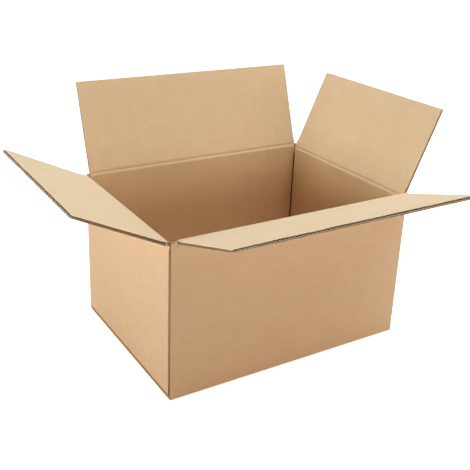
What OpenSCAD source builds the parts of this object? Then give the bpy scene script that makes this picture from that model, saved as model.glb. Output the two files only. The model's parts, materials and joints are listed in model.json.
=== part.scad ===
// Open-topped shipping carton of double-wall corrugated board, folded from one slotted and creased sheet.
// X runs along the box, Y from front to back, Z up; the origin is the middle of the underside.

/* [Box] */
// Clear length inside, between the end walls
inside_length = 457; // [300:1:700]
// Clear width inside, between the front and back walls
inside_width = 330; // [220:1:440]
// Clear depth inside, from the bottom flaps up to the closed top flaps
inside_depth = 254; // [150:1:450]

/* [Board] */
// Thickness of each flat paper liner
liner = 0.4; // [0.3:0.05:0.8]
// Thickness of the fluted paper between the liners
medium = 0.4; // [0.25:0.05:0.6]
// Height of the fine flutes, next to the outside
fine_flute = 2; // [1.6:0.1:3]
// Length of one wave of the fine flutes
fine_pitch = 6.5; // [5:0.1:8]
// Height of the coarse flutes, next to the inside
coarse_flute = 2.8; // [2.4:0.1:4.2]
// Length of one wave of the coarse flutes
coarse_pitch = 7.9; // [6.5:0.1:10]
// How far the flutes stand open behind a cut edge
flute_depth = 24; // [10:1:40]
// How deep a side cut opens between the liners, along the flutes
side_groove = 2.4; // [1:0.1:3.5]

/* [Top flaps] */
// Spare width of the slots between the flaps, beyond one board
slot_spare = 2; // [1:0.5:6]
// Gap left between the front and back flaps when they are closed
top_gap = 3; // [1:0.5:10]
// How far a flap folds back from upright, in degrees
fold_back_angle = 138; // [100:1:145]
// Front flap, degrees from upright
front_angle = 72; // [-90:1:138]
// Back flap, degrees from upright
back_angle = 19; // [-90:1:138]
// Left flap, degrees from upright
left_angle = 64; // [-90:1:138]
// Right flap, degrees from upright
right_angle = 24; // [-90:1:138]

/* [Creases and folds] */
// Radius of the crushed bead that a top flap turns on
bead = 2; // [1.2:0.1:2.4]
// Depth of the bead's centre below the outer face
crease_depth = 2.5; // [2.4:0.1:3.2]
// Outer radius of the fixed folds, at the corners and the bottom
fold_radius = 2.5; // [1:0.1:4]
// Radius of the crushed groove along the inner corners
corner_groove = 1.8; // [0.5:0.1:2.5]

/* [Glue tab] */
// Width of the tab that joins the ends of the sheet
tab_width = 35; // [20:1:60]
// Thickness of the tab, pressed thinner than the board
tab_thickness = 4.5; // [3:0.1:6]
// How far the tab narrows towards its free edge, at each end
tab_taper = 10; // [2:1:25]

/* [Bottom flaps] */
// Seam between the two outer bottom flaps
bottom_seam = 0.5; // [0.2:0.1:0.6]
// How far the outer bottom flaps stop short of the end walls' faces
bottom_inset = 1; // [0.5:0.5:6]

/* [Hidden] */
$fn = 48;

// Kraft brown of the walls and of the paler flap faces
wall_colour = "#caa274";
flap_colour = "#dcc09a";

// Space between board layers that lie on one another, and round the crease beads
clearance = 0.3;
// How far a cutting shape runs past the board
overrun = 1;
// Half angle of the notch crushed into the inside of a crease, in degrees
inner_notch_angle = 40;
// Spare turn left between the two faces of an outer crease, in degrees
crease_play_angle = 2;

// Board: three liners with two flute layers between them, counted from the outer face
liner_count = 3;
board = liner_count * liner + fine_flute + coarse_flute;
fine_base = liner;
coarse_base = 2 * liner + fine_flute;
LAYERS = [[fine_base, fine_flute, fine_pitch], [coarse_base, coarse_flute, coarse_pitch]];

// Outer faces of the walls
outer_length = inside_length + 2 * board;
outer_width = inside_width + 2 * board;

// Heights: the inner bottom flaps lie on the outer ones, the outer top flaps close over the inner ones
inner_bottom = board + clearance;
floor_top = inner_bottom + board;
end_crease = floor_top + inside_depth + board - crease_depth;
side_crease = end_crease + board + clearance;

// Top flaps: spans along the creases, and the length from the crease to the free edge
flap_set = board + slot_spare / 2;
side_span = outer_length - 2 * flap_set;
end_span = outer_width - 2 * flap_set;
flap_length = (outer_width - 2 * crease_depth - top_gap) / 2;

// Crushed band each side of a crease, on the outer and the inner face
outer_crush = crease_depth / tan((180 - fold_back_angle - crease_play_angle) / 2);
inner_crush = (board - crease_depth) / tan(inner_notch_angle);
crush = max(outer_crush, inner_crush);

// The plain ring of walls, between the bottom folds and the creased bands
ring_low = inner_bottom + fold_radius;
ring_high = end_crease - crush;

// Turn from each wall to the next, in degrees
corner_angle = 90;
// Each wall: its turn from the front, the distance of its face, and the span and height of its crease
FRONT = [0, outer_width / 2, side_span, side_crease];
RIGHT = [corner_angle, outer_length / 2, end_span, end_crease];
BACK = [2 * corner_angle, outer_width / 2, side_span, side_crease];
LEFT = [3 * corner_angle, outer_length / 2, end_span, end_crease];

// Places children on a wall's crease: X along it, Y inwards, Z up
module at_crease(wall) {
    rotate([0, 0, wall[0]])
        translate([0, crease_depth - wall[1], wall[3]])
            children();
}

// Extrudes a drawing of Y and Z along X, centred
module along_x(span) {
    rotate([90, 0, 90])
        linear_extrude(span, center = true)
            children();
}

// Round bar along X, centred on the crease
module crease_bar(radius, span) {
    rotate([0, 90, 0])
        cylinder(r = radius, h = span, center = true);
}

// Open ends of one flute layer as a row of triangles, points up and down in turn
module flute_row(span, layer) {
    base = layer[0] - crease_depth;
    top = base + layer[1];
    step = layer[2] / 2;
    half = step - medium;
    room = span - 2 * (side_groove + liner + half);
    count = floor(room / step) + 1;
    for (i = [0 : count - 1]) {
        x = (i - (count - 1) / 2) * step;
        if (i % 2 == 0)
            polygon([[x - half, base], [x + half, base], [x, top - medium]]);
        else
            polygon([[x, base + medium], [x + half, top], [x - half, top]]);
    }
}

// Grooves between the liners, from the cut face at x = 0 into the board
module liner_grooves() {
    for (layer = LAYERS)
        translate([-overrun, layer[0]])
            square([side_groove + overrun, layer[1]]);
}

// A flap standing upright on its crease, outer face towards -Y
module flap(span) {
    inner = board - crease_depth;
    section = [[0, 0], [inner, inner_crush], [inner, flap_length],
               [-crease_depth, flap_length], [-crease_depth, outer_crush]];
    difference() {
        along_x(span)
            polygon(section);
        crease_bar(bead + clearance, span + 2 * overrun);
        translate([0, 0, flap_length - flute_depth])
            linear_extrude(flute_depth + overrun)
                for (layer = LAYERS)
                    flute_row(span, layer);
        for (side = [0, 1])
            mirror([side, 0, 0])
                translate([-span / 2, -crease_depth, crush])
                    linear_extrude(flap_length)
                        liner_grooves();
    }
}

// Top of a wall, crushed to a bead along the crease
module wall_top(wall) {
    inner = board - crease_depth;
    foot = ring_high - board - wall[3];
    span = wall[2] + 2 * clearance;
    section = [[0, 0], [-crease_depth, -outer_crush], [-crease_depth, foot],
               [inner, foot], [inner, -inner_crush]];
    at_crease(wall) {
        along_x(span)
            polygon(section);
        crease_bar(bead, span);
    }
}

// Outline of the walls from above: rounded folds at three corners, a cut end at the front left
module outline() {
    square([outer_length - 2 * fold_radius, outer_width], center = true);
    square([outer_length, outer_width - 2 * fold_radius], center = true);
    for (x = [-1, 1], y = [-1, 1])
        translate([x * (outer_length / 2 - fold_radius), y * (outer_width / 2 - fold_radius)])
            circle(fold_radius);
    translate([-outer_length / 2, -outer_width / 2])
        square(board);
}

// The ring of walls from above, with crushed inner corners and the cut end of the front wall
module ring() {
    difference() {
        outline();
        square([inside_length, inside_width], center = true);
        for (x = [-1, 1], y = [-1, 1])
            translate([x * inside_length / 2, y * inside_width / 2])
                circle(corner_groove);
        translate([-outer_length / 2, -outer_width / 2])
            liner_grooves();
        translate([-outer_length / 2, -inside_width / 2])
            circle(corner_groove);
    }
}

// Corners of the ring, between the wall tops, up to the bottom of the slots, level with the long creases
module corner_posts() {
    post = flap_set - clearance;
    translate([0, 0, ring_low])
        linear_extrude(side_crease - ring_low)
            intersection() {
                ring();
                for (x = [-1, 1], y = [-1, 1])
                    translate([x * (outer_length - post) / 2, y * (outer_width - post) / 2])
                        square(post, center = true);
            }
}

// Tab folded in from the left wall and glued behind the front wall
module glue_tab() {
    height = ring_high - floor_top - 2 * clearance;
    translate([-inside_length / 2, tab_thickness - inside_width / 2, floor_top + clearance])
        rotate([90, 0, 0])
            linear_extrude(tab_thickness + medium)
                polygon([[0, 0], [tab_width, tab_taper], [tab_width, height - tab_taper], [0, height]]);
}

// Section of a bottom fold: foot of the wall, rounded outer edge and the flap turned in under it
module bottom_fold(reach) {
    difference() {
        union() {
            translate([0, fold_radius])
                square([board, ring_low + board - fold_radius]);
            translate([fold_radius, 0])
                square([reach - fold_radius, board]);
            translate([fold_radius, fold_radius])
                circle(fold_radius);
        }
        translate([board, board])
            circle(corner_groove);
    }
}

// Outer bottom flap under a long wall, its ends cut along the flutes
module outer_bottom(wall) {
    span = outer_length - 2 * bottom_inset;
    reach = (outer_width - bottom_seam) / 2;
    rotate([0, 0, wall[0]])
        translate([0, -wall[1], 0])
            difference() {
                along_x(span)
                    bottom_fold(reach);
                for (side = [0, 1])
                    mirror([side, 0, 0])
                        translate([-span / 2, reach + overrun, 0])
                            rotate([90, 0, 0])
                                linear_extrude(reach + overrun - board - corner_groove)
                                    liner_grooves();
            }
}

// Inner bottom flap, turned in from an end wall to lie on the outer ones
module inner_bottom_flap(wall) {
    rotate([0, 0, wall[0]])
        translate([0, -wall[1], inner_bottom])
            along_x(wall[2])
                bottom_fold(flap_length + crease_depth);
}

module body() {
    color(wall_colour)
        union() {
            translate([0, 0, ring_low])
                linear_extrude(ring_high - ring_low)
                    ring();
            corner_posts();
            for (wall = [FRONT, RIGHT, BACK, LEFT])
                wall_top(wall);
            glue_tab();
            for (wall = [FRONT, BACK])
                outer_bottom(wall);
            for (wall = [LEFT, RIGHT])
                inner_bottom_flap(wall);
        }
}

// A top flap turned out from upright by the given angle
module top_flap(wall, angle) {
    color(flap_colour)
        at_crease(wall)
            rotate([angle, 0, 0])
                flap(wall[2]);
}

module front_flap() { top_flap(FRONT, front_angle); }
module back_flap() { top_flap(BACK, back_angle); }
module left_flap() { top_flap(LEFT, left_angle); }
module right_flap() { top_flap(RIGHT, right_angle); }

body();
front_flap();
back_flap();
left_flap();
right_flap();
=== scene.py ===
import json
import math
import random
import bpy
from mathutils import Matrix, Vector


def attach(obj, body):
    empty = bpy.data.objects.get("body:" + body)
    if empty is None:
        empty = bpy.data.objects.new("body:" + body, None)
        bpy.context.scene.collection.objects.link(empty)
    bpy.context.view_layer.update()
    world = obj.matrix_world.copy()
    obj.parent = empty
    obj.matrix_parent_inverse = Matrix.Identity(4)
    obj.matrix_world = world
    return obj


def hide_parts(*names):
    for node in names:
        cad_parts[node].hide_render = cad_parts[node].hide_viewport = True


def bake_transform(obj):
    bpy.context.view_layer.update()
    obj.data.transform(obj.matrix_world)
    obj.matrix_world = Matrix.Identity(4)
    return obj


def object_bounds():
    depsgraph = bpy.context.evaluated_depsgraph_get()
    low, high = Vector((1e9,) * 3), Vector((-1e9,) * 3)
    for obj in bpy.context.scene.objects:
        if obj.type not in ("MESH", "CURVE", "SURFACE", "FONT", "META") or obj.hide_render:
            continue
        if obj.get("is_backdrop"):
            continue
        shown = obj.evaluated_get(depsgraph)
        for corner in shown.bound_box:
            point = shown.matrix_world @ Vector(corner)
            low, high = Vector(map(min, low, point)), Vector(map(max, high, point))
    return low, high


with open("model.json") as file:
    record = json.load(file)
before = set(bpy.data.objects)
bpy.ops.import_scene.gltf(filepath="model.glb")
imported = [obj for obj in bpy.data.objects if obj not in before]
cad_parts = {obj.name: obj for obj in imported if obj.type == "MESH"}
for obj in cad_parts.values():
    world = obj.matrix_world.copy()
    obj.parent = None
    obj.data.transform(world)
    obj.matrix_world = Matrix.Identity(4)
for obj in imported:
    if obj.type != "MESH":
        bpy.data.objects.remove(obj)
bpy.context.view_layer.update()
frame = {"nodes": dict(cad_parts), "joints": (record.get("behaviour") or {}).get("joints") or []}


# Walls and bottom: one sheet of double-wall corrugated board, creased, folded round the corners and glued
# to itself at the front left corner, with its bottom flaps folded shut. Brown kraft paper faces the board
# on both sides, and a cut edge lays open the fluted paper between them.
MM = 0.001
HALF_LENGTH = 234.5 * MM
HALF_WIDTH = 171 * MM
BOARD = 6 * MM
FINE_PITCH = 6.5 * MM
COARSE_PITCH = 7.9 * MM
SIDE_GROOVE = 2.4 * MM
SEAM_GROOVE = 1.6 * MM
CORNER_GROOVE = 2 * MM
CORNER_POST = 9 * MM
BOTTOM_INSET = 1 * MM
INNER_FLAP_EDGE = 65 * MM
FLOOR_TOP = 12.3 * MM
RIM_HEIGHT = 262 * MM
DEEP_HEIGHT = 150 * MM
SLOT_LOW = 254 * MM
SLOT_HIGH = 268 * MM


def linear(hex_colour):
    channels = [int(hex_colour[i:i + 2], 16) / 255 for i in (1, 3, 5)]
    return [c / 12.92 if c <= 0.04045 else ((c + 0.055) / 1.055) ** 2.4 for c in channels] + [1.0]


def add_node(tree, kind, inputs=None, **settings):
    node = tree.nodes.new("ShaderNode" + kind)
    for name, value in settings.items():
        setattr(node, name, value)
    for socket, value in (inputs or {}).items():
        if isinstance(value, bpy.types.NodeSocket):
            tree.links.new(value, node.inputs[socket])
        else:
            node.inputs[socket].default_value = value
    return node


# Kraft liner: long unbleached pulp fibres, machine finished. It looks matt, a warm brown that clouds a little
# lighter and darker, with short streaks of fibre. The flutes under it show as a faint washboard, each one a
# little lighter or darker than the next. The fibres are drawn coarser than real ones, too fine to show.
CLOUD_SIZE = 30 * MM
FIBRE_WIDTH = 2.2 * MM
FIBRE_STRETCH = (0.25, 0.25, 1.0)
FIBRE_HEIGHT = 0.03 * MM
TONES_PER_FLUTE = 0.7
CLOUD_SHARE = 0.75
MEAN_TONE = 0.545
END_WALL_FACE = HALF_LENGTH - BOARD - 0.3 * MM
NEAR = 1 * MM


def kraft_liner(name, dark, light, pitch, fibre_share, flute_share, washboard_height):
    material = bpy.data.materials.new(name)
    material.use_nodes = True
    tree = material.node_tree
    paper = tree.nodes["Principled BSDF"]
    paper.inputs["IOR"].default_value = 1.45
    paper.inputs["Specular IOR Level"].default_value = 0.3
    place = add_node(tree, "TexCoord").outputs["Object"]

    # The flutes follow one another along X on the long panels and along Y on the end panels
    axes = add_node(tree, "SeparateXYZ", {0: place})
    from_middle = add_node(tree, "Math", {0: axes.outputs["X"]}, operation="ABSOLUTE")
    end_wall = add_node(tree, "Math", {0: from_middle.outputs[0], 1: END_WALL_FACE}, operation="GREATER_THAN")
    end_bottom = add_node(tree, "Math", {0: axes.outputs["Z"], 1: FLOOR_TOP, 2: NEAR}, operation="COMPARE")
    end_panel = add_node(tree, "Math", {0: end_wall.outputs[0], 1: end_bottom.outputs[0]},
                         operation="MAXIMUM")
    along = add_node(tree, "Mix", {0: end_panel.outputs[0], 2: axes.outputs["X"], 3: axes.outputs["Y"]})
    turns = add_node(tree, "Math", {0: along.outputs[0], 1: 2 * math.pi / pitch}, operation="MULTIPLY")
    washboard = add_node(tree, "Math", {0: turns.outputs[0]}, operation="SINE")
    flute_tone = add_node(tree, "TexNoise", {"W": along.outputs[0], "Scale": TONES_PER_FLUTE / pitch,
                                             "Detail": 2.0}, noise_dimensions="1D")

    clouds = add_node(tree, "TexNoise", {"Vector": place, "Scale": 1 / CLOUD_SIZE, "Detail": 5.0,
                                         "Roughness": 0.68})
    streak_place = add_node(tree, "Mapping", {"Vector": place, "Scale": FIBRE_STRETCH})
    streaks = add_node(tree, "TexNoise", {"Vector": streak_place.outputs[0], "Scale": 1 / FIBRE_WIDTH,
                                          "Detail": 3.0, "Roughness": 0.6})

    base_tone = MEAN_TONE - (CLOUD_SHARE + fibre_share + flute_share) / 2
    tone = add_node(tree, "Math", {0: clouds.outputs["Fac"], 1: CLOUD_SHARE, 2: base_tone},
                    operation="MULTIPLY_ADD")
    for source, share in ((streaks, fibre_share), (flute_tone, flute_share)):
        tone = add_node(tree, "Math", {0: source.outputs[0], 1: share, 2: tone.outputs[0]},
                        operation="MULTIPLY_ADD")
    shade = add_node(tree, "Clamp", {0: tone.outputs[0]})
    brown = add_node(tree, "Mix", {0: shade.outputs[0], 6: linear(dark), 7: linear(light)},
                     data_type="RGBA")
    tree.links.new(brown.outputs[2], paper.inputs["Base Color"])

    gloss = add_node(tree, "MapRange", {"Value": streaks.outputs["Fac"], "To Min": 0.74, "To Max": 0.92})
    tree.links.new(gloss.outputs[0], paper.inputs["Roughness"])
    fibres = add_node(tree, "Math", {0: streaks.outputs["Fac"], 1: FIBRE_HEIGHT}, operation="MULTIPLY")
    height = add_node(tree, "Math", {0: washboard.outputs[0], 1: washboard_height, 2: fibres.outputs[0]},
                      operation="MULTIPLY_ADD")
    relief = add_node(tree, "Bump", {"Strength": 0.6, "Distance": 1.0, "Height": height.outputs[0]})
    tree.links.new(relief.outputs[0], paper.inputs["Normal"])
    return material


# Fluting paper: short fibres from recycled pulp, corrugated between hot rolls. It looks duller than the
# liners and a little speckled, with no gloss at all.
SPECK_SIZE = 4 * MM


def fluting_paper(name, dark, light):
    material = bpy.data.materials.new(name)
    material.use_nodes = True
    tree = material.node_tree
    paper = tree.nodes["Principled BSDF"]
    paper.inputs["Roughness"].default_value = 0.95
    paper.inputs["Specular IOR Level"].default_value = 0.2
    place = add_node(tree, "TexCoord").outputs["Object"]
    specks = add_node(tree, "TexNoise", {"Vector": place, "Scale": 1 / SPECK_SIZE, "Detail": 3.0})
    brown = add_node(tree, "Mix", {0: specks.outputs["Fac"], 6: linear(dark), 7: linear(light)},
                     data_type="RGBA")
    tree.links.new(brown.outputs[2], paper.inputs["Base Color"])
    return material


# Mixes a colour into a paper's own, more and more from one height to another
def tone_by_height(material, start, end, colour, blend_type):
    tree = material.node_tree
    tone = tree.nodes["Principled BSDF"].inputs["Base Color"]
    place = add_node(tree, "TexCoord").outputs["Object"]
    height = add_node(tree, "SeparateXYZ", {0: place}).outputs["Z"]
    share = add_node(tree, "MapRange", {"Value": height, "From Min": start, "From Max": end}).outputs[0]
    mixed = add_node(tree, "Mix", {0: share, 6: tone.links[0].from_socket, 7: linear(colour)},
                     data_type="RGBA", blend_type=blend_type)
    tree.links.new(mixed.outputs[2], tone)


# The liners outside and inside, and a paler liner at folds and cuts: rubbed, with a painted highlight
outer_liner = kraft_liner("kraft_liner_outside", "#d3ae86", "#e2c29f", FINE_PITCH, 0.9, 0.06, 0.015 * MM)
inner_liner = kraft_liner("kraft_liner_inside", "#d6b68a", "#e6caa4", COARSE_PITCH, 0.45, 0.14, 0.09 * MM)
rubbed_liner_and_painted_highlight = kraft_liner("kraft_liner_rubbed_and_painted_highlight", "#e2c6a0", "#efd6b6", COARSE_PITCH,
                           0.3, 0.2, 0.02 * MM)

# The fluting on a cut edge, painted darker as shade deep between the liners where little light reaches, a
# paler fluting, and painted shade in the corner folds
fluting = fluting_paper("fluting_paper", "#a27a50", "#bd966a")
fluting_painted_shade = fluting_paper("fluting_paper_painted_shade", "#52391f", "#6e5034")
pale_fluting = fluting_paper("fluting_paper_pale", "#cdaa82", "#e2c6a0")
corner_painted_shade = fluting_paper("painted_shade_in_corner_folds", "#4a3220", "#63462e")

# Painted shade: deep inside the box the inside liner turns a redder, darker brown, for the light bounced
# between the kraft walls. The corner folds' painted shade fades at the top, where they open to the slots.
tone_by_height(inner_liner, RIM_HEIGHT, DEEP_HEIGHT, "#f5eae5", "MULTIPLY")
tone_by_height(corner_painted_shade, SLOT_LOW, SLOT_HIGH, "#c8a276", "MIX")

# Each face of the walls gets its paper by its place: depths are counted from the outer faces
OUTSIDE, INSIDE, CUT, CORNER, PALE_CUT = range(5)
SKIN = 2.2 * MM
FACE_PAPER = 0.3 * MM
HAIR = 0.05 * MM
FACING = 0.9
MID_HEIGHT = 200 * MM
walls = frame["nodes"]["body"]
walls.data.materials.clear()
for paper in (outer_liner, inner_liner, fluting, corner_painted_shade, pale_fluting):
    walls.data.materials.append(paper)
for face in walls.data.polygons:
    x, y, z = face.center
    from_end = HALF_LENGTH - abs(x)
    from_side = HALF_WIDTH - abs(y)
    from_left = HALF_LENGTH + x
    from_front = HALF_WIDTH + y
    inside = from_end > SKIN and from_side > SKIN and z > BOARD - HAIR
    corner_fold = math.hypot(from_end - BOARD, from_side - BOARD) < CORNER_GROOVE and z > FLOOR_TOP
    seam_end = (from_left < SIDE_GROOVE + HAIR and FACE_PAPER < from_front < BOARD + SEAM_GROOVE
                and (from_left > HAIR or from_front < BOARD))
    post_top = (face.normal.z > FACING and z > MID_HEIGHT
                and from_end < CORNER_POST and from_side < CORNER_POST)
    flute_edge = abs(face.normal.x) > FACING and abs(abs(x) - INNER_FLAP_EDGE) < NEAR
    bottom_end = (BOTTOM_INSET - HAIR < from_end < BOTTOM_INSET + SIDE_GROOVE + HAIR
                  and FACE_PAPER < z < BOARD - FACE_PAPER and abs(face.normal.y) < 1 - FACING)
    # The inside corners where two walls meet take painted shade, darker paper for the shadow in the fold
    if corner_fold:
        face.material_index = CORNER
    elif seam_end or post_top or flute_edge:
        face.material_index = CUT
    elif bottom_end:
        face.material_index = PALE_CUT
    else:
        face.material_index = INSIDE if inside else OUTSIDE


# Top flaps: the same board, cut free at the slots and standing on their creases. Three flat liners hold two
# layers of flutes that run from the crease to the free edge, where they stand open; the slotting knives
# press the board thinner along the side cuts.
LINER = 0.5 * MM
FLUTE_PAPER = 0.4 * MM
FINE_PAPER = 0.55 * MM
FINE_HEIGHT = 1.9 * MM
COARSE_HEIGHT = 2.6 * MM
CREASE_DEPTH = 2.5 * MM
OUTER_CRUSH = 6.87 * MM
INNER_NOTCH = 50
OUTER_NOTCH = 110
FOOT_TOP = 9 * MM
SHEET_START = FOOT_TOP - 0.4 * MM
BEAD_ROOM = 2.2 * MM
FLAP_LENGTH = 167 * MM
SPANS = {"front_flap": 455 * MM, "back_flap": 455 * MM, "left_flap": 328 * MM, "right_flap": 328 * MM}
OUTER_FACE = -CREASE_DEPTH
INNER_FACE = BOARD - CREASE_DEPTH
MIDDLE = (OUTER_FACE + INNER_FACE) / 2
WELD = 0.01 * MM


def polar(radius, degrees):
    return Vector((0, radius * math.cos(math.radians(degrees)), radius * math.sin(math.radians(degrees))))


def finish_modifiers(piece):
    for modifier in list(piece.modifiers):
        bpy.ops.object.modifier_apply(modifier=modifier.name)


# A line drawn from point to point, by extruding one vertex
def draw_line(name, points):
    bpy.ops.object.select_all(action="DESELECT")
    bpy.ops.mesh.primitive_plane_add(size=1 * MM, location=(0, 0, 0))
    piece = bpy.context.object
    piece.name = name
    bpy.ops.object.mode_set(mode="EDIT")
    bpy.ops.mesh.select_mode(type="VERT")
    bpy.ops.mesh.select_all(action="SELECT")
    bpy.ops.mesh.merge(type="CENTER")
    bpy.ops.transform.translate(value=points[0])
    for here, there in zip(points, points[1:]):
        bpy.ops.mesh.extrude_vertices_move(TRANSFORM_OT_translate={"value": Vector(there) - Vector(here)})
    bpy.ops.mesh.select_all(action="SELECT")
    return piece


# A flat liner: one sheet in narrow columns, with two short rows at the free edge that can be dented
LINER_COLUMN = 4 * MM
EDGE_ROWS = (10 * MM, 6 * MM)
EDGE_START = FLAP_LENGTH - 16 * MM


def make_liner(name, span, base, start, paper):
    columns = round(span / LINER_COLUMN)
    bpy.ops.object.select_all(action="DESELECT")
    bpy.ops.mesh.primitive_grid_add(x_subdivisions=columns, y_subdivisions=1, size=1)
    piece = bpy.context.object
    piece.name = name
    bpy.ops.object.mode_set(mode="EDIT")
    bpy.ops.mesh.select_all(action="SELECT")
    bpy.ops.transform.rotate(value=-math.pi / 2, orient_axis="X", center_override=(0, 0, 0))
    flat = EDGE_START - start
    bpy.ops.transform.resize(value=(span, 1, flat), center_override=(0, 0, 0))
    bpy.ops.transform.translate(value=(0, base + LINER / 2, start + flat / 2))
    bpy.ops.mesh.select_all(action="DESELECT")
    bpy.ops.object.mode_set(mode="OBJECT")
    for edge in piece.data.edges:
        edge.select = all(piece.data.vertices[i].co.z > EDGE_START - NEAR for i in edge.vertices)
    bpy.ops.object.mode_set(mode="EDIT")
    bpy.ops.mesh.select_mode(type="EDGE")
    for row in EDGE_ROWS:
        bpy.ops.mesh.extrude_edges_move(TRANSFORM_OT_translate={"value": (0, 0, row)})
    bpy.ops.object.mode_set(mode="OBJECT")
    sheet = piece.modifiers.new("paper", "SOLIDIFY")
    sheet.thickness = LINER
    sheet.offset = 0
    finish_modifiers(piece)

    # Paper by place: rubbed paler at the free edge, with a painted highlight, and painted shade where it
    # faces the open flutes behind that edge
    for kind in (paper, rubbed_liner_and_painted_highlight, fluting_painted_shade):
        piece.data.materials.append(kind)
    for face in piece.data.polygons:
        free_edge = face.center.z > FLAP_LENGTH - HAIR
        flat_side = abs(face.normal.y) > FACING
        towards_flutes = flat_side and abs(face.center.y - MIDDLE) < (BOARD - LINER) / 2
        near_edge = face.center.z > EDGE_START and abs(face.center.x) < span / 2 - LINER_COLUMN
        face.material_index = 1 if free_edge else 2 if towards_flutes and near_edge else 0
    return piece


# A fluted sheet: one wave drawn, drawn out along the flap, repeated and given its thickness
WAVE_STEPS = 8
FLUTE_MARGIN = 5 * MM


def make_flutes(name, span, base, height, pitch, thickness, paper):
    swing = (height - thickness) / 2
    waves = int((span - FLUTE_MARGIN) / pitch)
    middle = base + height / 2
    first = -waves * pitch / 2
    wave = []
    for i in range(WAVE_STEPS + 1):
        turn = 2 * math.pi * i / WAVE_STEPS
        wave.append((first + pitch * i / WAVE_STEPS, middle + swing * math.sin(turn), SHEET_START))
    piece = draw_line(name, wave)
    bpy.ops.mesh.extrude_edges_move(TRANSFORM_OT_translate={"value": (0, 0, FLAP_LENGTH - FOOT_TOP)})
    bpy.ops.object.mode_set(mode="OBJECT")
    row = piece.modifiers.new("row", "ARRAY")
    row.count = waves
    row.use_relative_offset = False
    row.use_constant_offset = True
    row.constant_offset_displace = (pitch, 0, 0)
    row.use_merge_vertices = True
    row.merge_threshold = WELD
    sheet = piece.modifiers.new("paper", "SOLIDIFY")
    sheet.thickness = thickness
    sheet.offset = 0
    finish_modifiers(piece)
    bpy.ops.object.mode_set(mode="EDIT")
    bpy.ops.mesh.select_all(action="SELECT")
    bpy.ops.mesh.normals_make_consistent(inside=False)
    bpy.ops.object.mode_set(mode="OBJECT")
    piece.data.materials.append(paper)
    piece.data.materials.append(rubbed_liner_and_painted_highlight)
    # At the free edge the open ends of the flutes take the paler paper: rubbed, with a painted highlight
    for face in piece.data.polygons:
        face.material_index = int(face.center.z > FLAP_LENGTH - NEAR)
    return piece


# The foot of a flap, pressed to a wedge at the crease
FOOT_ROUND = BEAD_ROOM + 0.2 * MM
FOOT_BEND = (INNER_FACE - 1.3 * MM, 4 * MM)
FOOT_INNER = INNER_FACE - 0.4 * MM


def make_foot(name, span):
    corners = [polar(FOOT_ROUND, OUTER_NOTCH), polar(FOOT_ROUND, INNER_NOTCH), Vector((0, *FOOT_BEND)),
               Vector((0, FOOT_INNER, FOOT_TOP)), Vector((0, OUTER_FACE + LINER, FOOT_TOP)),
               Vector((0, OUTER_FACE, OUTER_CRUSH))]
    piece = draw_line(name, corners + [corners[0]])
    bpy.ops.transform.translate(value=(-span / 2, 0, 0))
    bpy.ops.mesh.remove_doubles(threshold=WELD)
    bpy.ops.mesh.edge_face_add()
    bpy.ops.mesh.extrude_region_move(TRANSFORM_OT_translate={"value": (span, 0, 0)})
    bpy.ops.mesh.select_all(action="SELECT")
    bpy.ops.mesh.normals_make_consistent(inside=False)
    bpy.ops.object.mode_set(mode="OBJECT")
    piece.data.materials.append(outer_liner)
    return piece


# Presses the board thinner where the test holds, by scaling those points towards its middle
def press(piece, share, test):
    bpy.ops.object.mode_set(mode="EDIT")
    bpy.ops.mesh.select_mode(type="VERT")
    bpy.ops.mesh.select_all(action="DESELECT")
    bpy.ops.object.mode_set(mode="OBJECT")
    for vertex in piece.data.vertices:
        vertex.select = test(vertex.co)
    bpy.ops.object.mode_set(mode="EDIT")
    bpy.ops.transform.resize(value=(1, share, 1), center_override=(0, MIDDLE, 0))
    bpy.ops.object.mode_set(mode="OBJECT")


# How thin the knives leave each flap along its side cuts, and how the free edges have been knocked in use:
# small dents at random, and the left corner of the front flap pressed thin step by step
SIDE_CUT_SHARES = {"front_flap": 0.58, "back_flap": 0.75, "left_flap": 0.84, "right_flap": 0.75}
SIDE_CUT = 2 * MM
SIDE_BAND = 6 * MM
SIDE_BAND_SHARE = 0.92
PRESSED_FROM = OUTER_CRUSH + NEAR
DENTED_FROM = FLAP_LENGTH - 8 * MM
DENT_SPACING = 45 * MM
DENT_REACH = (6, 22)
DENT_SHARE = (0.94, 0.985)
DENT_SHAPE = (1, 0.6)
KNOCKED_CORNER = (75 * MM, 60 * MM, 45 * MM, 30 * MM, 15 * MM)
KNOCKED_SHARE = 0.94

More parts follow.
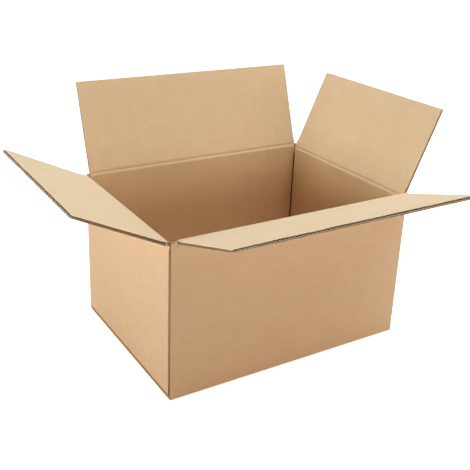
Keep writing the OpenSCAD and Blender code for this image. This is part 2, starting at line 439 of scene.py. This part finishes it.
places = {}
for joint in frame["joints"]:
    name = joint["child"]
    span = SPANS[name]
    axis = Vector(joint["axis"])
    up = Vector((0, 0, 1))
    basis = Matrix((axis, up.cross(axis), up)).transposed().to_4x4()
    turn = -joint["range_deg"][0] - 90
    at_crease = Matrix.Translation(joint["pos_m"]) @ basis
    places[name] = (at_crease, turn)

    fine_base = OUTER_FACE + LINER
    coarse_base = INNER_FACE - LINER - COARSE_HEIGHT
    # The coarse flutes take the fluting with painted shade, dark for the little light inside their open
    # channels
    layers = [
        make_liner(name + "_outer", span, OUTER_FACE, OUTER_CRUSH, outer_liner),
        make_flutes(name + "_fine", span, fine_base, FINE_HEIGHT, FINE_PITCH, FINE_PAPER, pale_fluting),
        make_liner(name + "_middle", span, fine_base + FINE_HEIGHT, SHEET_START, inner_liner),
        make_flutes(name + "_coarse", span, coarse_base, COARSE_HEIGHT, COARSE_PITCH, FLUTE_PAPER,
                    fluting_painted_shade),
        make_liner(name + "_inner", span, INNER_FACE - LINER, SHEET_START, inner_liner),
        make_foot(name + "_foot", span),
    ]
    bpy.ops.object.select_all(action="DESELECT")
    for layer in layers:
        layer.select_set(True)
    bpy.context.view_layer.objects.active = layers[0]
    bpy.ops.object.join()
    flap = bpy.context.object
    flap.name = name + "_board"

    press(flap, SIDE_BAND_SHARE, lambda p: abs(p.x) > span / 2 - SIDE_BAND and p.z > PRESSED_FROM)
    press(flap, SIDE_CUT_SHARES[name], lambda p: abs(p.x) > span / 2 - SIDE_CUT and p.z > PRESSED_FROM)
    chance = random.Random(name)
    for dent in range(round(span / DENT_SPACING)):
        middle = chance.uniform(-span / 2, span / 2)
        reach = chance.uniform(*DENT_REACH) * MM
        depth = chance.uniform(*DENT_SHARE)
        for share in DENT_SHAPE:
            press(flap, depth, lambda p: abs(p.x - middle) < reach * share and p.z > DENTED_FROM)
    if name == "front_flap":
        for reach in KNOCKED_CORNER:
            press(flap, KNOCKED_SHARE, lambda p: p.x < reach - span / 2 and p.z > DENTED_FROM)

    flap.matrix_world = at_crease @ Matrix.Rotation(math.radians(turn), 4, "X")
    bpy.ops.object.transform_apply(location=True, rotation=True, scale=True)
    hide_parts(name)
    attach(flap, name)


# Creases: the outer and inner liner run on unbroken from wall to flap over the board pressed flat between
# them. They are bent to the flap's resting turn, the inner one into a soft groove, the outer one round the
# fold.
CREASE_PAPER = 0.1 * MM
TUCK = 0.1 * MM
PROUD = 0.14 * MM
RIDGE = 0.45 * MM
# How far round the crease the paler paper reaches: rubbed fibres and a painted highlight on the fold's crest
RUBBED_AND_HIGHLIGHT_REACH = 3.6 * MM
NOTCH_TOUCH = 16
OUTER_BEND = 5 * MM
OUTER_ROUND = 2.4 * MM
OUTER_EASE = 4
BEND_EASE = 1
WALL_NOTCH = 250
SMOOTH_ANGLE = 50

# How far each paper stands off its wall or flap, and how far that is from the crease
INNER_WALL = ((-TUCK, 17 * MM), (PROUD, 15 * MM), (PROUD, 10 * MM), (RIDGE / 2, 6 * MM), (RIDGE, 3.4 * MM))
INNER_FLAP = ((RIDGE / 2, 3.3 * MM), (PROUD, 6 * MM), (PROUD, 10 * MM), (PROUD, 15 * MM), (-TUCK, 17 * MM))
OUTER_WALL = ((-TUCK, 17 * MM), (PROUD / 2, 15 * MM), (PROUD / 2, 10 * MM), (PROUD / 2, 7.4 * MM))


def on_wall(depth, down):
    return Vector((0, depth, -down))


def on_flap(depth, up, turn):
    return Matrix.Rotation(math.radians(turn), 3, "X") @ Vector((0, depth, up))


def make_crease(name, points, span, place, paper):
    piece = draw_line(name, points)
    bpy.ops.transform.translate(value=(-span / 2, 0, 0))
    bpy.ops.mesh.extrude_edges_move(TRANSFORM_OT_translate={"value": (span, 0, 0)})
    bpy.ops.object.mode_set(mode="OBJECT")
    soft = piece.modifiers.new("soft", "SUBSURF")
    soft.levels = soft.render_levels = 2
    sheet = piece.modifiers.new("paper", "SOLIDIFY")
    sheet.thickness = CREASE_PAPER
    sheet.offset = 0
    finish_modifiers(piece)
    bpy.ops.object.mode_set(mode="EDIT")
    bpy.ops.mesh.select_all(action="SELECT")
    bpy.ops.mesh.normals_make_consistent(inside=False)
    bpy.ops.object.mode_set(mode="OBJECT")
    bpy.ops.object.shade_smooth_by_angle(angle=math.radians(SMOOTH_ANGLE))
    piece.data.materials.append(paper)
    piece.data.materials.append(rubbed_liner_and_painted_highlight)
    # Close round the crease the paper is paler: a painted highlight on the fold's round crest, and rubbed
    # fibres
    for face in piece.data.polygons:
        face.material_index = int(math.hypot(face.center.y, face.center.z) < RUBBED_AND_HIGHLIGHT_REACH)
    piece.matrix_world = place
    bpy.ops.object.transform_apply(location=True, rotation=True, scale=True)
    return piece


for name, (place, turn) in places.items():
    if turn > 2 * NOTCH_TOUCH:
        valley_turn = turn - 2 * NOTCH_TOUCH
        valley = [polar(BEAD_ROOM, NOTCH_TOUCH + valley_turn * i / 3) for i in range(4)]
    else:
        valley = [polar(BEAD_ROOM, (turn - NOTCH_TOUCH) / 2), polar(BEAD_ROOM, (turn + NOTCH_TOUCH) / 2)]
    groove = [on_wall(INNER_FACE + proud, down) for proud, down in INNER_WALL]
    groove += valley
    groove += [on_flap(INNER_FACE + proud, up, turn) for proud, up in INNER_FLAP]
    inner = make_crease(name + "_inner_crease", groove, SPANS[name], place, inner_liner)
    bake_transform(inner)

    low = WALL_NOTCH - OUTER_EASE
    high = OUTER_NOTCH + OUTER_EASE + turn
    outer_arc = [polar(OUTER_ROUND, low + (high - low) * i / 5) for i in range(6)]
    fold = [on_wall(OUTER_FACE - proud, down) for proud, down in OUTER_WALL]
    fold.append(polar(OUTER_BEND, WALL_NOTCH - BEND_EASE))
    fold += outer_arc
    fold.append(polar(OUTER_BEND, OUTER_NOTCH + BEND_EASE + turn))
    fold += [on_flap(OUTER_FACE - proud, up, turn) for proud, up in reversed(OUTER_WALL)]
    outer = make_crease(name + "_outer_crease", fold, SPANS[name], place, outer_liner)
    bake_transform(outer)


# Studio floor: a plain plane painted matt white and lit evenly, with a white world behind it. To the eye they
# glow plain white, while the light that they throw on the box stays weak. They are stage and not part of the
# box.
FLOOR_SIZE = 14
FLOOR_DROP = 0.3 * MM
WHITE = (1, 1, 1, 1)


# One for a ray that looks at a surface, also in a mirror or through glass, and none for one that lights it
def seen_share(tree):
    path = add_node(tree, "LightPath").outputs
    seen = path["Is Camera Ray"]
    for ray in ("Is Glossy Ray", "Is Transmission Ray"):
        seen = add_node(tree, "Math", {0: seen, 1: path[ray]}, operation="MAXIMUM").outputs[0]
    return seen


bpy.ops.object.select_all(action="DESELECT")
bpy.ops.mesh.primitive_plane_add(size=FLOOR_SIZE, location=(0, 0, -FLOOR_DROP))
floor = bpy.context.object
floor.name = "floor"
white = bpy.data.materials.new("matt_white_paint")
white.use_nodes = True
tree = white.node_tree
tree.nodes.clear()
place = add_node(tree, "TexCoord").outputs["Object"]
away = add_node(tree, "VectorMath", {0: place}, operation="LENGTH")
glow_share = add_node(tree, "MapRange", {"Value": away.outputs["Value"], "From Min": 0.3, "From Max": 1.6,
                                         "To Min": 0.72, "To Max": 1.0})
strength = add_node(tree, "Math", {0: seen_share(tree), 1: glow_share.outputs[0]}, operation="MULTIPLY")
paint = add_node(tree, "BsdfDiffuse", {"Color": linear("#f2f2f2")})
glow = add_node(tree, "Emission", {"Color": WHITE, "Strength": strength.outputs[0]})
both = add_node(tree, "AddShader", {0: paint.outputs[0], 1: glow.outputs[0]})
add_node(tree, "OutputMaterial", {"Surface": both.outputs[0]})
floor.data.materials.append(white)
floor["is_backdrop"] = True

world = bpy.data.worlds.new("studio")
bpy.context.scene.world = world
world.use_nodes = True
tree = world.node_tree
tree.nodes.clear()
fill = add_node(tree, "Background", {"Color": WHITE, "Strength": 0.05})
backdrop = add_node(tree, "Background", {"Color": WHITE, "Strength": 1.0})
mix = add_node(tree, "MixShader", {0: seen_share(tree), 1: fill.outputs[0], 2: backdrop.outputs[0]})
add_node(tree, "OutputWorld", {"Surface": mix.outputs[0]})


# Lamps: a large, cool soft box overhead with a weaker white one before it, a low one to the left and a
# warmer one in front, to the right. Places, aims and sizes are in metres, and strengths in watts.
def add_softbox(name, place, target, size, watts, colour):
    data = bpy.data.lights.new(name, "AREA")
    data.shape = "RECTANGLE"
    data.size, data.size_y = size
    data.energy = watts
    data.color = linear(colour)[:3]
    lamp = bpy.data.objects.new(name, data)
    bpy.context.scene.collection.objects.link(lamp)
    lamp.location = place
    lamp.rotation_euler = (Vector(target) - Vector(place)).to_track_quat("-Z", "Y").to_euler()


add_softbox("overhead", (0.35, 0.45, 2.3), (0.05, 0.05, 0.2), (1.6, 1.6), 47, "#daecff")
add_softbox("overhead_front", (0.6, -0.8, 2.1), (0, 0, 0.2), (1.6, 1.6), 15, "#ffffff")
add_softbox("left", (-2.4, 0.1, 0.64), (0, 0, 0.3), (1.4, 0.48), 33, "#fffdf6")
add_softbox("front", (0.85, -2.55, 0.76), (0.1, 0, 0.3), (1.4, 0.6), 24, "#ffedd6")


# Camera: a normal lens, above the front left corner, looking down into the box. The focal length and the
# small shift that frames the box are counted in pixels of the square photograph.
SENSOR = 36
PHOTO_SIZE = 470
FOCAL_LENGTH = 761.3
FRAMING_SHIFT = -28
CAMERA_PLACE = (-0.69919, -1.07851, 0.74317)
scene = bpy.context.scene
scene.view_settings.view_transform = "Standard"
lens = bpy.data.cameras.new("camera")
camera = bpy.data.objects.new("camera", lens)
scene.collection.objects.link(camera)
scene.camera = camera
lens.sensor_width = SENSOR
lens.lens = FOCAL_LENGTH * SENSOR / PHOTO_SIZE
lens.shift_y = FRAMING_SHIFT / PHOTO_SIZE
yaw, pitch, roll = 0.56293, 0.37899, -0.04092
camera.matrix_world = (Matrix.Translation(CAMERA_PLACE) @ Matrix.Rotation(-yaw, 4, "Z")
                       @ Matrix.Rotation(math.pi / 2 - pitch, 4, "X") @ Matrix.Rotation(-roll, 4, "Z"))

low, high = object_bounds()
